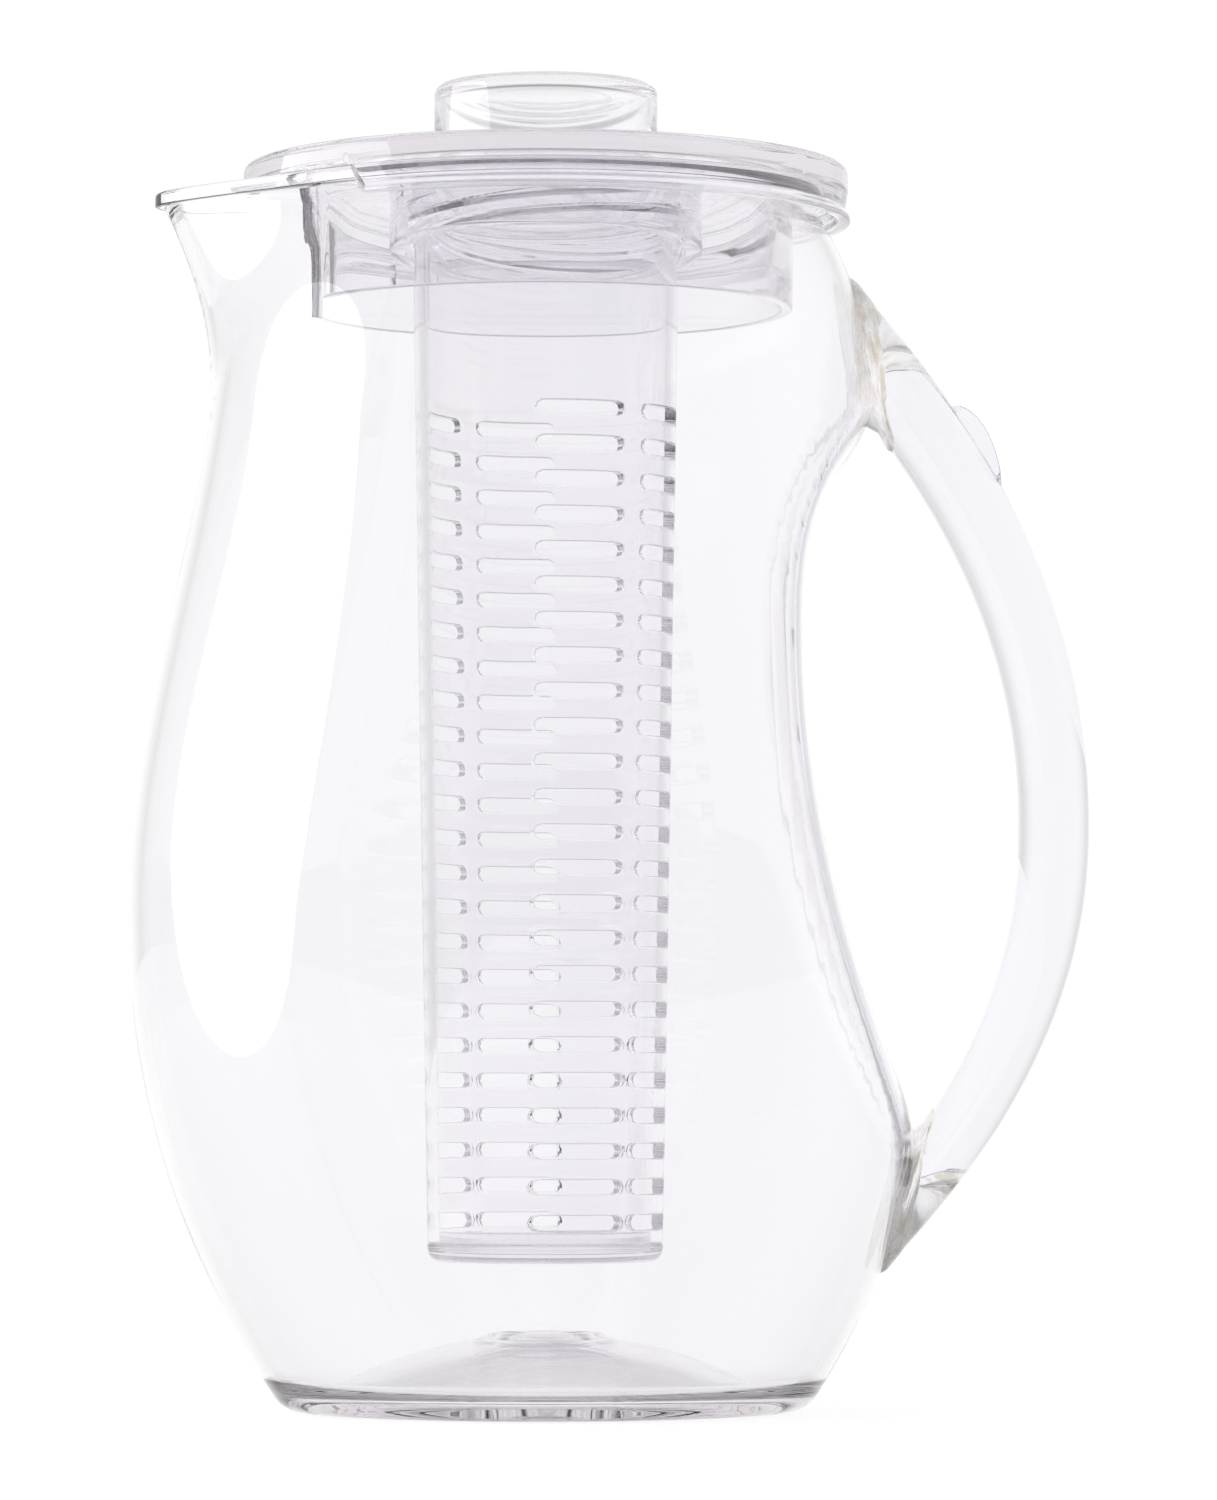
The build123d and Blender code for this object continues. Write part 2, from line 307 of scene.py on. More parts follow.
def clear_plastic(name, ripple_size, ripple_depth, density=plastic_density, tone=white):
    """Clear styrene-acrylonitrile: glossy, with slow moulding ripples and faint flow streaks.
    Its own grey lavender shows only where the eye looks through a few centimetres of it."""
    material = bpy.data.materials.new(name)
    material.use_nodes = True
    tree = material.node_tree
    shader = tree.nodes["Principled BSDF"]
    shader.inputs["Transmission Weight"].default_value = 1.0
    shader.inputs["IOR"].default_value = plastic_ior
    where = add_node(tree, "ShaderNodeTexCoord").outputs["Object"]
    upright = add_node(tree, "ShaderNodeMapping", None,
                       {"Vector": where, "Scale": (1.0, 1.0, flow_stretch)})
    flow = add_node(tree, "ShaderNodeTexNoise", None,
                    {"Vector": upright.outputs[0], "Scale": 1 / (flow_ripples * ripple_size),
                     "Detail": 3.0})
    colour = add_node(tree, "ShaderNodeMix", {"data_type": "RGBA"},
                      {"Factor": flow.outputs["Fac"], "A": linear(tone), "B": linear(flow_tone)})
    tree.links.new(colour.outputs["Result"], shader.inputs["Base Color"])
    scuffs = add_node(tree, "ShaderNodeTexNoise", None,
                      {"Vector": where, "Scale": 1 / scuff_size, "Detail": 4.0, "Roughness": 0.7})
    rough = add_node(tree, "ShaderNodeMapRange", None,
                     {"Value": scuffs.outputs["Fac"], "From Min": 0.45, "From Max": 0.85,
                      "To Min": 0.0, "To Max": scuff_roughness})
    tree.links.new(rough.outputs["Result"], shader.inputs["Roughness"])
    ripple = add_node(tree, "ShaderNodeTexNoise", None,
                      {"Vector": upright.outputs[0], "Scale": 1 / ripple_size, "Detail": 1.0})
    bump = add_node(tree, "ShaderNodeBump", None,
                    {"Height": ripple.outputs["Fac"], "Distance": ripple_depth, "Strength": 1.0})
    tree.links.new(bump.outputs["Normal"], shader.inputs["Normal"])
    depth = add_node(tree, "ShaderNodeVolumeAbsorption", None,
                     {"Color": linear(plastic_lavender), "Density": density})
    tree.links.new(depth.outputs["Volume"], tree.nodes["Material Output"].inputs["Volume"])
    return material


body_plastic = clear_plastic("clear moulded SAN, body", ripple_size=30 * mm, ripple_depth=0.12 * mm)
pitcher_body.data.materials.append(body_plastic)
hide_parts("pitcher_body_lower", "pitcher_body_upper")
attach(pitcher_body, "pitcher")

# Handle: a solid clear bar moulded apart from the body, oval in section and bowed between two
# tall pads. The solvent of its welds has crazed a few millimetres of each end, in ragged depth.
upper_pad_top = 248.3 * mm
upper_pad_bottom = 214.0 * mm
lower_pad_top = 62.6 * mm
lower_pad_bottom = 29.8 * mm
grip_reach = 119.1 * mm
grip_height = 128.0 * mm
grip_thickness = 15.5 * mm
grip_depth = 22.0 * mm
pad_depth = 26.0 * mm
pad_root = 10.0 * mm
grip_curve = 2.1
weld_thickness = 0.8 * mm
pad_spread = 4
crazed_share = 0.05
crazed_gap_share = 0.0008
crazed_raggedness = 0.3
crazed_lumps_up = 2.6
crazed_lumps_deep = 0.5
crazed_seed = Vector((3.1, 7.7, 1.3))
settle_rounds = 4
handle_tone = "#F1EFF4"
grip_rows = 110
cap_rows = 10
handle_turns = 96


def handle_edge(step, top, bottom, reach):
    """Edge of the bar, seen from the side, at a step from 1, its upper pad, to -1, its lower pad."""
    pad = top if step > 0 else bottom
    x = reach - (reach - round_reach(pad, "handle")) * abs(step) ** grip_curve
    return Vector((x, 0, grip_height + (pad - grip_height) * abs(step)))


def handle_back(step):
    """Edge of the bar on the side away from the body."""
    return handle_edge(step, upper_pad_top, lower_pad_bottom, grip_reach)


def handle_depth(step):
    """Depth of the bar from front to back, which spreads towards its pads."""
    return grip_depth + (pad_depth - grip_depth) * step**pad_spread


def handle_oval(step, turn, share):
    """Point of the bar's oval section at a step, for a turn round it and a share of its size."""
    outer = handle_back(step)
    inner = handle_edge(step, upper_pad_bottom, lower_pad_top, grip_reach - grip_thickness)
    across = (outer - inner) / 2
    deep = Vector((0, handle_depth(step) / 2, 0))
    return (outer + inner) / 2 + share * (across * cos(turn) + deep * sin(turn))


def skin_x(y, z, grow):
    """Reach along X of the body's skin, grown by the given amount, on the handle side."""
    x = round_reach(z, "handle")
    for _ in range(settle_rounds):
        reach = body_reach(z, atan2(y, x)) + grow
        x = sqrt(max(reach**2 - y**2, 0.0))
    return x


def clear_of_body(point, grow):
    """The point, moved out to the body's grown skin where it lies inside it."""
    return Vector((max(point.x, skin_x(point.y, point.z, grow)), point.y, point.z))


def crazed_end(turn, share):
    """Step of the bar where the crazed plastic of a weld ends, deeper and shallower by turns."""
    across = Vector((crazed_lumps_up * share * cos(turn), crazed_lumps_deep * share * sin(turn), 0))
    return 1 - crazed_share * (1 + crazed_raggedness * noise.noise(across + crazed_seed))


def handle_place(row, turn):
    """Rows of the bar: over its upper end, down its sides and over its lower end."""
    if row < cap_rows:
        share = row / cap_rows
        point = handle_oval(crazed_end(turn, share) - crazed_gap_share, turn, share)
    elif row >= cap_rows + grip_rows:
        share = 1 - (row - cap_rows - grip_rows + 1) / cap_rows
        point = handle_oval(crazed_gap_share - crazed_end(turn, share), turn, share)
    else:
        length = crazed_end(turn, 1.0) - crazed_gap_share
        point = handle_oval(length * (1 - 2 * (row - cap_rows) / (grip_rows - 1)), turn, 1.0)
    return clear_of_body(point, weld_thickness)


def bonded_face():
    """Face where two pieces of the same plastic have run together: light passes it unbent."""
    material = bpy.data.materials.new("solvent-bonded SAN, inner face")
    material.use_nodes = True
    shader = material.node_tree.nodes["Principled BSDF"]
    shader.inputs["Base Color"].default_value = linear(white)
    shader.inputs["Transmission Weight"].default_value = 1.0
    shader.inputs["Roughness"].default_value = 0.0
    shader.inputs["IOR"].default_value = 1.0
    return material


def handle_slot(strip):
    """Slot 0 on the bar's sides and slot 1 on its two bonded ends."""
    return 0 if cap_rows <= strip < cap_rows + grip_rows - 1 else 1


# The bar's tone is in its skin, because a piece with two materials gets no tint from its depth.
handle = moulded("handle_bar", grip_rows + 2 * cap_rows, handle_turns, handle_place, handle_slot)
handle_plastic = clear_plastic("clear moulded SAN, handle", ripple_size=18 * mm, ripple_depth=0.15 * mm,
                               density=0.0, tone=handle_tone)
bonded_plastic = bonded_face()
handle.data.materials.append(handle_plastic)
handle.data.materials.append(bonded_plastic)
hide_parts("handle")
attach(handle, "pitcher")

# Thumb rest: a half-moon rib with flat sides on the handle's back, moulded with it in the same
# clear plastic, for the thumb to press on while pouring.
thumb_rest_height = 211.0 * mm
thumb_rest_length = 20.5 * mm
thumb_rest_width = 12.0 * mm
thumb_rest_rise = 4.4 * mm
thumb_rest_lift = 0.03 * mm
thumb_squareness = 0.3
thumb_end_width = 0.35
thumb_end_growth = 2
thumb_rows = 40
thumb_turns = 64
thumb_step = (thumb_rest_height - grip_height) / (upper_pad_top - grip_height)
thumb_run = handle_back(thumb_step + 0.5) - handle_back(thumb_step - 0.5)
thumb_half_step = thumb_rest_length / 2 / thumb_run.length


def thumb_place(row, turn):
    """Rounded rectangle across the rib, which swells from nothing at both of its ends."""
    along = 2 * row / (thumb_rows - 1) - 1
    step = thumb_step - along * thumb_half_step
    sides = (cos(turn), sin(turn))
    squared = [abs(side) ** thumb_squareness * (1 if side > 0 else -1) for side in sides]
    width = min(1.0, thumb_end_width + thumb_end_growth * (1 - along**2))
    y = squared[0] * thumb_rest_width / 2 * width
    foot = handle_oval(step, asin(2 * y / handle_depth(step)), 1.0)
    out = (handle_oval(step, 0.0, 1.0) - handle_oval(step, pi, 1.0)).normalized()
    rise = thumb_rest_rise * (1 - along**2) * (squared[1] + 1) / 2
    crown = (handle_oval(step, 0.0, 1.0) - foot).dot(out) * (squared[1] + 1) / 2
    return foot + out * (rise + crown + thumb_rest_lift)


thumb_rest = moulded("handle_thumb_rest", thumb_rows, thumb_turns, thumb_place)
thumb_rest.data.materials.append(handle_plastic)
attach(thumb_rest, "pitcher")

# Welds: where the handle's pads were dipped in solvent and pressed on, the plastic is crazed,
# streaky and a little amber, with a lumpy bead squeezed out round each pad.
fit_gap = 0.05 * mm
bead_share = 0.05
bead_lumpiness = 0.8
bead_lumps_round = 3
bead_lumps_along = 2
weld_runs = 3
weld_rows = 40
weld_turns = 144
weld_amber = "#DDD2C0"
weld_amber_end = 0.40
weld_clear_start = 0.54
weld_roughest = 0.35
weld_smoothest = 0.06
streak_width = 2.5 * mm
streak_stretch = 0.3
streak_depth = 0.25 * mm


def weld_place(end):
    """Rows of one weld: out along the body's skin, up round the bar and back over its ragged end."""
    def place(row, turn):
        out = weld_runs * row / (weld_rows - 1)
        if out < 1:
            point = handle_oval(end, turn, out) - Vector((pad_root, 0, 0))
            return Vector((skin_x(point.y, point.z, fit_gap), point.y, point.z))
        if out < 2:
            step = 1 + (crazed_end(turn, 1.0) - 1) * (out - 1)
            lumps = noise.noise(around(bead_lumps_round, turn, bead_lumps_along * out) + crazed_seed)
            bulge = 1 + bead_share * (1 + bead_lumpiness * lumps) * sin((out - 1) * pi)
            return clear_of_body(handle_oval(end * step, turn, bulge), fit_gap)
        share = weld_runs - out
        return clear_of_body(handle_oval(end * crazed_end(turn, share), turn, share), fit_gap)
    return place


def weld_slot(strip):
    """Slot 0 on the weld's first two runs and slot 1 on its last, which is bonded to the handle."""
    return 1 if strip >= (weld_rows - 1) * (weld_runs - 1) / weld_runs else 0


def weld_finish():
    """Solvent-crazed plastic: clear, with upright amber streaks, which are rougher than the rest."""
    material = bpy.data.materials.new("solvent-welded SAN")
    material.use_nodes = True
    tree = material.node_tree
    shader = tree.nodes["Principled BSDF"]
    shader.inputs["Transmission Weight"].default_value = 1.0
    shader.inputs["IOR"].default_value = plastic_ior
    where = add_node(tree, "ShaderNodeTexCoord").outputs["Object"]
    upright = add_node(tree, "ShaderNodeMapping", None,
                       {"Vector": where, "Scale": (1.0, 1.0, streak_stretch)})
    streaks = add_node(tree, "ShaderNodeTexNoise", None,
                       {"Vector": upright.outputs[0], "Scale": 1 / streak_width, "Detail": 5.0,
                        "Distortion": 1.2})
    colours = add_node(tree, "ShaderNodeValToRGB", None, {"Fac": streaks.outputs["Fac"]})
    colours.color_ramp.elements[0].position = weld_amber_end
    colours.color_ramp.elements[0].color = linear(weld_amber)
    colours.color_ramp.elements[1].position = weld_clear_start
    colours.color_ramp.elements[1].color = linear(white)
    tree.links.new(colours.outputs["Color"], shader.inputs["Base Color"])
    rough = add_node(tree, "ShaderNodeMapRange", None,
                     {"Value": streaks.outputs["Fac"], "To Min": weld_roughest, "To Max": weld_smoothest})
    tree.links.new(rough.outputs["Result"], shader.inputs["Roughness"])
    bump = add_node(tree, "ShaderNodeBump", None,
                    {"Height": streaks.outputs["Fac"], "Distance": streak_depth, "Strength": 0.7})
    tree.links.new(bump.outputs["Normal"], shader.inputs["Normal"])
    return material


welded_plastic = weld_finish()
for weld_name, weld_step in (("handle_weld_upper", 1.0), ("handle_weld_lower", -1.0)):
    weld = moulded(weld_name + "_crazing", weld_rows, weld_turns, weld_place(weld_step), weld_slot)
    weld.data.materials.append(welded_plastic)
    weld.data.materials.append(bonded_plastic)
    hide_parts(weld_name)
    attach(weld, "pitcher")

# Infuser tube: a clear tapered moulding with rows of rounded slots in two opposite quarters,
# hung from the lid by the coarse screw thread round its top.
tube_low, tube_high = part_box("infuser_tube")
tube_bottom, tube_top = tube_low[2], tube_high[2]
tube_top_radius = 29.5 * mm
tube_foot_radius = 25.7 * mm
tube_wall = 2.5 * mm
slot_rows = 24
slot_pitch = 7.62 * mm
slot_height = 3.1 * mm
slot_length = 20.0 * mm
lowest_slot = 41.5 * mm
slot_columns = (16.5, 69.5, 196.5, 249.5)
slot_edge_round = 0.6 * mm
cell_half_angle = 26.5
cell_across = 16
cell_up = 4
cell_rings = 3
web_across = 24
plain_up = 16


def tube_point(angle, z):
    """Point of the tube's outside; the angle is from the front towards the handle, in degrees."""
    flare = (tube_top_radius - tube_foot_radius) * (z - tube_bottom) / (tube_top - tube_bottom)
    return around(tube_foot_radius + flare, radians(angle - 90), z)


def slot_loop(index):
    """One point of a slot cell: its border as shares from -1 to 1, and the slot's own edge."""
    end = slot_length / 2 - slot_height / 2
    steps = (cell_across, cell_up, cell_across, cell_up)
    side, step = 0, index
    while step >= steps[side]:
        step -= steps[side]
        side += 1
    if side in (0, 2):
        share = (2 * step / cell_across - 1) * (1 - side)
        level = side - 1
        return (share, level), (end * share, level * slot_height / 2)
    share = (2 * step / cell_up - 1) * (2 - side)
    level = 2 - side
    across = level * (end + slot_height / 2 * cos(share * pi / 2))
    return (level, share), (across, slot_height / 2 * sin(share * pi / 2))


def slot_cell(bm, centre, z):
    """Sheet round one slot, from the slot's edge out to the border of its cell."""
    loop = 2 * (cell_across + cell_up)

    def place(column, row):
        (side, level), (offset, rise) = slot_loop(column % loop)
        radius = hypot(*tube_point(0, z)[:2])
        out = row / cell_rings
        inner_angle = asin(offset / radius) * 180 / pi
        angle = centre + (1 - out) * inner_angle + out * cell_half_angle * side
        return tube_point(angle, z + (1 - out) * rise + out * level * slot_pitch / 2)

    bent_grid(bm, loop, cell_rings, place)


def plain_cell(bm, start, end, across, low, high, up):
    """Sheet with no slot, from one angle to another and from one height to another."""
    bent_grid(bm, across, up, lambda column, row: tube_point(
        start + (end - start) * column / across, low + (high - low) * row / up))


bm = bmesh.new()
slots_low = lowest_slot - slot_pitch / 2
slots_high = slots_low + slot_rows * slot_pitch
for centre in slot_columns:
    for row in range(slot_rows):
        slot_cell(bm, centre, lowest_slot + row * slot_pitch)
    left, right = centre - cell_half_angle, centre + cell_half_angle
    plain_cell(bm, left, right, cell_across, tube_bottom, slots_low, 1)
    plain_cell(bm, left, right, cell_across, slots_high, tube_top, plain_up)
for centre in (slot_columns[1], slot_columns[3]):
    left = centre + cell_half_angle
    right = left + 180 - 4 * cell_half_angle
    plain_cell(bm, left, right, web_across, tube_bottom, slots_low, 1)
    plain_cell(bm, left, right, web_across, slots_low, slots_high, slot_rows * cell_up)
    plain_cell(bm, left, right, web_across, slots_high, tube_top, plain_up)
infuser_tube = finished(bm, "infuser_tube_wall", crease=60, closed=False)
shell = infuser_tube.modifiers.new("wall", "SOLIDIFY")
shell.thickness = tube_wall
shell.offset = -1.0
shell.use_even_offset = True
softened = infuser_tube.modifiers.new("slot edges", "BEVEL")
softened.width = slot_edge_round
softened.segments = 3
softened.limit_method = "ANGLE"
softened.angle_limit = radians(50)
softened.harden_normals = True
tube_plastic = clear_plastic("clear moulded SAN, tube", ripple_size=14 * mm, ripple_depth=0.05 * mm)
infuser_tube.data.materials.append(tube_plastic)
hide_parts("infuser_tube")
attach(infuser_tube, "tube")

# Screw thread: four steep ridges round the tube's top, each half a turn long and moulded with it.
# Four more in the lid's collar lie between them, and the tube hangs on those.
thread_lead = 14.0 * mm
thread_starts = 4
thread_rise = 1.1 * mm
thread_width = 1.2 * mm
thread_clearance = 0.35 * mm
thread_turns = 0.5
thread_bottom = 258.2 * mm
thread_sink = 0.1 * mm
thread_crest_share = 0.3
thread_fade = 8
thread_tip_share = 0.05
thread_crest = tube_top_radius + thread_rise
collar_bore = thread_crest + thread_clearance
thread_steps = 48


def thread_ridges(name, root, crest, first_angle):
    """Ridges from a root radius to a crest radius, which climb as they turn and fade at both ends."""
    bm = bmesh.new()
    section = ((root, -0.5), (crest, -thread_crest_share), (crest, thread_crest_share), (root, 0.5))
    for start in range(thread_starts):
        def place(column, row):
            radius, share = section[column % len(section)]
            turn = thread_turns * row / thread_steps
            taper = min(1.0, thread_fade * row / thread_steps, thread_fade * (1 - row / thread_steps))
            heading = tau * (turn + first_angle / 360 + start / thread_starts)
            climb = thread_bottom + thread_lead * turn
            z = climb + thread_width * share * max(taper, thread_tip_share)
            return around(root + (radius - root) * taper, heading, z)
        bent_grid(bm, len(section), thread_steps, place)
    return finished(bm, name, crease=40)


tube_thread = thread_ridges("infuser_tube_thread", tube_top_radius - thread_sink, thread_crest, 0.0)
tube_thread.data.materials.append(tube_plastic)
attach(tube_thread, "tube")

# End cap: a round disc with a softened edge, moulded in the tube's clear plastic and pushed into
# the tube's foot by its spigot.
cap_low, cap_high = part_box("infuser_end_cap")
cap_thickness = 4.0 * mm
cap_round = 3.0 * mm
cap_rim = cap_low[2] + cap_thickness - fit_gap
cap_rim_round = 0.3 * mm
spigot_radius = tube_foot_radius - tube_wall - fit_gap
spigot_root_round = 0.1 * mm
spigot_round = 0.3 * mm
corner_segments = 4
cap_turns = 144


def turned(name, corners, turns, ring=False):
    """Round piece: its half section of (radius, height, rounding) is spun, and its corners rounded."""
    bm = bmesh.new()
    section = [bm.verts.new((r, 0, z)) for r, z, rounding in corners]
    sides = [bm.edges.new(pair) for pair in zip(section, section[1:] + section[:ring])]
    bmesh.ops.spin(bm, geom=section + sides, cent=(0, 0, 0), axis=(0, 0, 1), angle=tau, steps=turns,
                   use_merge=True)
    bmesh.ops.remove_doubles(bm, verts=bm.verts, dist=merge_distance)
    bmesh.ops.recalc_face_normals(bm, faces=bm.faces)

    def at_corner(point, r, z):
        return abs(hypot(point.x, point.y) - r) < merge_distance and abs(point.z - z) < merge_distance

    for r, z, rounding in corners:
        if rounding:
            circle = [edge for edge in bm.edges if all(at_corner(vert.co, r, z) for vert in edge.verts)]
            bmesh.ops.bevel(bm, geom=circle, offset=rounding, segments=corner_segments, profile=0.5,
                            affect="EDGES", material=-1)
    return finished(bm, name, crease=40)


infuser_end_cap = turned("infuser_end_cap_disc", (
    (0.0, cap_low[2], 0.0),
    (tube_foot_radius, cap_low[2], cap_round),
    (tube_foot_radius, cap_rim, cap_rim_round),
    (spigot_radius, cap_rim, spigot_root_round),
    (spigot_radius, cap_high[2], spigot_round),
    (0.0, cap_high[2], 0.0),
), cap_turns)
infuser_end_cap.data.materials.append(tube_plastic)
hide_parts("infuser_end_cap")
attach(infuser_end_cap, "end_cap")

# Lid: a clear disc moulded in one with its skirts, which sits on the rim. The outer skirt is
# notched over the spout, and the deep plug skirt has a gap to pour through.
lid_low, lid_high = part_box("lid")
lid_top = lid_high[2]
lid_radius = 66.5 * mm
lid_plate = 3.0 * mm
lid_edge_round = 1.8 * mm
plate_underside = lid_top - lid_plate
skirt_bottom = 260.0 * mm
skirt_inner = 64.2 * mm
skirt_waist = 65.8 * mm
skirt_waist_height = 262.4 * mm
skirt_bead = 67.0 * mm
skirt_bead_height = 261.2 * mm
skirt_shoulder_round = 0.8 * mm
skirt_bead_round = 0.6 * mm
skirt_lip_round = 0.5 * mm
seat_corner_round = 0.4 * mm
spout_heading = 180.0
notch_half_angle = 53.0
notch_corner = 4.0
plug_radius = 54.3 * mm
plug_wall = 2.5 * mm
plug_bottom = lid_low[2]
plug_lip_round = 0.5 * mm
plug_root_round = 0.8 * mm
pour_gap_angle = 35.0
pour_gap_centre = 7.5
pour_gap_corner = 1.5
plug_end_share = 0.12
plug_end_angle = 5.0
lid_seat = body_height + fit_gap
lid_corner_steps = 4
largest_corner_share = 0.45
lid_turns = 360


def outside_gap(heading, centre, half_angle, corner):
    """0 inside an angular gap and 1 outside it, with a rounded step between; in degrees."""
    turn = abs((heading * 180 / pi - centre + 180) % 360 - 180)
    t = min(1.0, max(0.0, (turn - half_angle) / corner + 0.5))
    return t * t * (3 - 2 * t)


def rounded(corners, steps):
    """Line through corners of (radius, height, rounding), each rounded over the given steps."""
    points = []
    for i, (r, z, rounding) in enumerate(corners):
        here = Vector((r, z))
        before = Vector(corners[i - 1][:2]) if i else here
        after = Vector(corners[i + 1][:2]) if i + 1 < len(corners) else here
        shorter = min((before - here).length, (after - here).length)
        reach = min(rounding, largest_corner_share * shorter)
        start = here + (before - here).normalized() * reach
        end = here + (after - here).normalized() * reach
        for k in range(steps + 1):
            t = k / steps
            points.append(start * (1 - t) ** 2 + here * 2 * t * (1 - t) + end * t**2)
    return points


def lid_profile(heading):
    """Half section of the lid at a heading, from the top's middle round to the underside's. The outer
    skirt is drawn up in the notch and the plug skirt in the pour gap, and the plug thins towards it."""
    gap_heading = spout_heading + pour_gap_centre
    skirt = outside_gap(heading, spout_heading, notch_half_angle, notch_corner)
    plug = outside_gap(heading, gap_heading, pour_gap_angle / 2, pour_gap_corner)
    full = outside_gap(heading, gap_heading, (pour_gap_angle + plug_end_angle) / 2, plug_end_angle)
    plug_half = plug_wall / 2 * (plug_end_share + (1 - plug_end_share) * full)
    plug_middle = plug_radius - plug_wall / 2
    waist = lid_radius + (skirt_waist - lid_radius) * skirt
    bead = lid_radius + (skirt_bead - lid_radius) * skirt

    def hung(z, share):
        return lid_seat + (z - lid_seat) * share

    return rounded((
        (0.0, lid_top, 0.0),
        (lid_radius, lid_top, lid_edge_round),
        (lid_radius, hung(body_height, skirt), skirt_shoulder_round),
        (waist, hung(skirt_waist_height, skirt), skirt_bead_round),
        (bead, hung(skirt_bead_height, skirt), skirt_bead_round),
        (bead, hung(skirt_bottom, skirt), skirt_lip_round),
        (skirt_inner, hung(skirt_bottom, skirt), skirt_lip_round),
        (skirt_inner, lid_seat, seat_corner_round),
        (plug_middle + plug_half, lid_seat, seat_corner_round),
        (plug_middle + plug_half, hung(plug_bottom, plug), plug_lip_round),
        (plug_middle - plug_half, hung(plug_bottom, plug), plug_lip_round),
        (plug_radius - plug_wall, plate_underside, plug_root_round),
        (0.0, plate_underside, 0.0),
    ), lid_corner_steps)


lid_headings = [column / lid_turns * tau - pi for column in range(lid_turns + 1)]
lid_profiles = [lid_profile(heading) for heading in lid_headings]


def lid_place(column, row):
    point = lid_profiles[column][row]
    return around(point.x, lid_headings[column], point.y)


bm = bmesh.new()
bent_grid(bm, lid_turns, len(lid_profiles[0]) - 1, lid_place)
lid = finished(bm, "lid_moulding", crease=40)
lid_plastic = clear_plastic("clear moulded SAN, lid", ripple_size=16 * mm, ripple_depth=0.12 * mm)
lid.data.materials.append(lid_plastic)
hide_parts("lid")
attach(lid, "lid")

# Collar: a ring of the lid's clear plastic, moulded with a thread inside for the tube and bonded
# under the lid's middle.
collar_low, collar_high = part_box("lid_collar")
collar_radius = 35.0 * mm
collar_top = collar_high[2] - fit_gap
collar_mouth_round = 0.5 * mm
collar_top_round = 0.3 * mm
collar_thread_angle = 180 / thread_starts
collar_turns = 144
lid_collar = turned("lid_collar_ring", (
    (collar_bore, collar_low[2], collar_mouth_round),
    (collar_radius, collar_low[2], collar_mouth_round),
    (collar_radius, collar_top, collar_top_round),
    (collar_bore, collar_top, collar_top_round),
), collar_turns, ring=True)
collar_thread = thread_ridges("lid_collar_thread", collar_bore + thread_sink,
                              tube_top_radius + thread_clearance, collar_thread_angle)
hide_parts("lid_collar")
for piece in (lid_collar, collar_thread):
    piece.data.materials.append(lid_plastic)
    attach(piece, "lid")

# Knob: a hollow cap with a shallow round dish in its top, moulded in the lid's clear plastic and
# bonded on the lid's middle.
knob_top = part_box("lid_knob")[1][2]
knob_radius = 24.6 * mm
knob_wall = 1.8 * mm
dish_radius = 14.0 * mm
dish_depth = 1.0 * mm
dish_slope = 0.4 * mm
dish_round = 0.5 * mm
knob_foot = lid_top + fit_gap
knob_round = 2.0 * mm
knob_foot_round = 0.4 * mm
knob_inner_round = 1.5 * mm
knob_ceiling = knob_top - knob_wall - dish_depth
knob_turns = 144
lid_knob = turned("lid_knob_cap", (
    (0.0, knob_top - dish_depth, 0.0),
    (dish_radius, knob_top - dish_depth, dish_round),
    (dish_radius + dish_slope, knob_top, dish_round),
    (knob_radius, knob_top, knob_round),
    (knob_radius, knob_foot, knob_foot_round),
    (knob_radius - knob_wall, knob_foot, knob_foot_round),
    (knob_radius - knob_wall, knob_ceiling, knob_inner_round),
    (0.0, knob_ceiling, 0.0),
), knob_turns)
lid_knob.data.materials.append(lid_plastic)
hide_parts("lid_knob")
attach(lid_knob, "lid")

# Floor, light and camera: a light table of white acrylic in front of a white sweep, and one low
# wide window of light on the left. The room is dimmer elsewhere, which draws the thin lines of
# clear plastic.
camera_distance = 1500 * mm
camera_height = 68.8 * mm
camera_tilt = radians(2.88)
camera_lens = 164.4
camera_data = bpy.data.cameras.new("camera")
camera_data.lens = camera_lens
camera = bpy.data.objects.new("camera", camera_data)
bpy.context.collection.objects.link(camera)
middle_x = (cad_box[0][0] + cad_box[1][0]) / 2
camera.location = (middle_x, -camera_distance, camera_height)
camera.rotation_euler = (pi / 2 + camera_tilt, 0, 0)
bpy.context.scene.camera = camera
bpy.context.scene.view_settings.view_transform = "Standard"

floor_half_side = 12000 * mm
floor_drop = 0.3 * mm
floor_grey = "#9A9A9A"
floor_glow = 0.87
bm = bmesh.new()
bmesh.ops.create_grid(bm, x_segments=1, y_segments=1, size=floor_half_side)
bmesh.ops.translate(bm, verts=bm.verts, vec=(0, 0, -floor_drop))
floor_mesh = bpy.data.meshes.new("floor")
bm.to_mesh(floor_mesh)
bm.free()
floor = bpy.data.objects.new("floor", floor_mesh)
bpy.context.collection.objects.link(floor)
floor_acrylic = bpy.data.materials.new("lit white acrylic")
floor_acrylic.use_nodes = True
floor_shader = floor_acrylic.node_tree.nodes["Principled BSDF"]
floor_shader.inputs["Base Color"].default_value = linear(floor_grey)
floor_shader.inputs["Roughness"].default_value = 0.9
floor_shader.inputs["Specular IOR Level"].default_value = 0.0
floor_shader.inputs["Emission Color"].default_value = linear(white)
floor_shader.inputs["Emission Strength"].default_value = floor_glow
floor.data.materials.append(floor_acrylic)
floor.visible_glossy = False

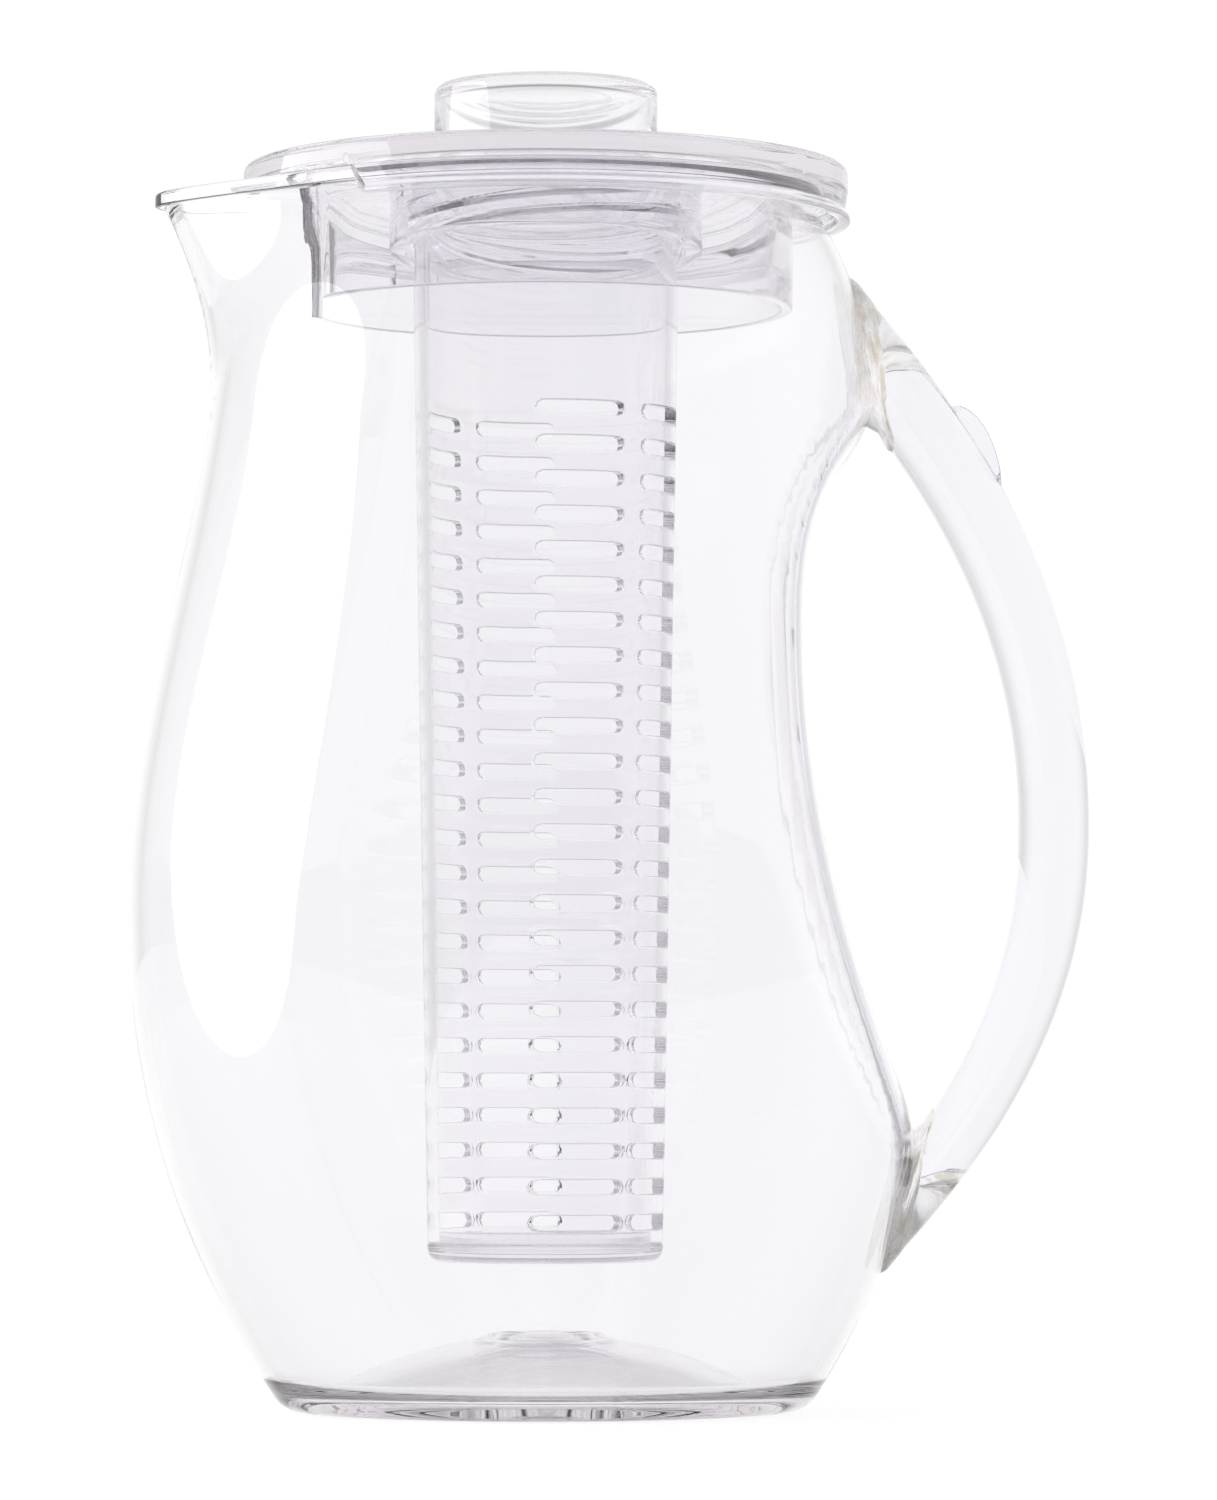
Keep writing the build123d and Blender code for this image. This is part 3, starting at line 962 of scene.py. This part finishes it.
world = bpy.data.worlds.new("white studio")
bpy.context.scene.world = world
world.use_nodes = True
room = world.node_tree
room_shadow = "#DCCFC0"
direction = add_node(room, "ShaderNodeTexCoord").outputs["Generated"]
axes = add_node(room, "ShaderNodeSeparateXYZ", None, {"Vector": direction}).outputs

# Each part of the room: the axis that it goes by, where it starts and ends there, and how bright
# it is at its start and its end.
room_parts = {
    "sweep": ("Y", (0.82, 0.96), (0.8, 1.03)),
    "ceiling": ("Z", (0.35, 0.9), (1.0, 0.5)),
    "ground": ("Z", (-0.55, -0.04), (0.6, 1.0)),
    "front": ("Y", (-0.6, 0.2), (0.72, 1.0)),
}
room_light = {}
for part, (axis, (start, end), (first, last)) in room_parts.items():
    fade = add_node(room, "ShaderNodeMapRange", {"interpolation_type": "SMOOTHSTEP"},
                    {"Value": axes[axis], "From Min": start, "From Max": end,
                     "To Min": first, "To Max": last})
    room_light[part] = fade.outputs["Result"]
light = room_light["sweep"]
for part in ("ceiling", "ground", "front"):
    light = add_node(room, "ShaderNodeMath", {"operation": "MULTIPLY"},
                     {0: light, 1: room_light[part]}).outputs[0]
shade = add_node(room, "ShaderNodeMix", {"data_type": "RGBA"},
                 {"Factor": room_light["ground"], "A": linear(room_shadow), "B": linear(white)})
room.links.new(shade.outputs["Result"], room.nodes["Background"].inputs["Color"])
room.links.new(light, room.nodes["Background"].inputs["Strength"])

window_width = 1350 * mm
window_height = 900 * mm
window_watts = 7.5
window_place = Vector((-1200 * mm, -50 * mm, 360 * mm))
window_aim = Vector((0, 0, 150 * mm))
window_data = bpy.data.lights.new("window", "AREA")
window_data.shape = "ELLIPSE"
window_data.size = window_width
window_data.size_y = window_height
window_data.energy = window_watts
window = bpy.data.objects.new("window", window_data)
window.location = window_place
window.rotation_euler = (window_aim - window_place).to_track_quat("-Z", "Y").to_euler()
window.visible_camera = False
window.visible_transmission = False
bpy.context.collection.objects.link(window)

# Light crosses many clear walls before it leaves the pitcher.
light_bounces = 64
cycles = bpy.context.scene.cycles
cycles.max_bounces = light_bounces
cycles.transmission_bounces = light_bounces
cycles.glossy_bounces = light_bounces
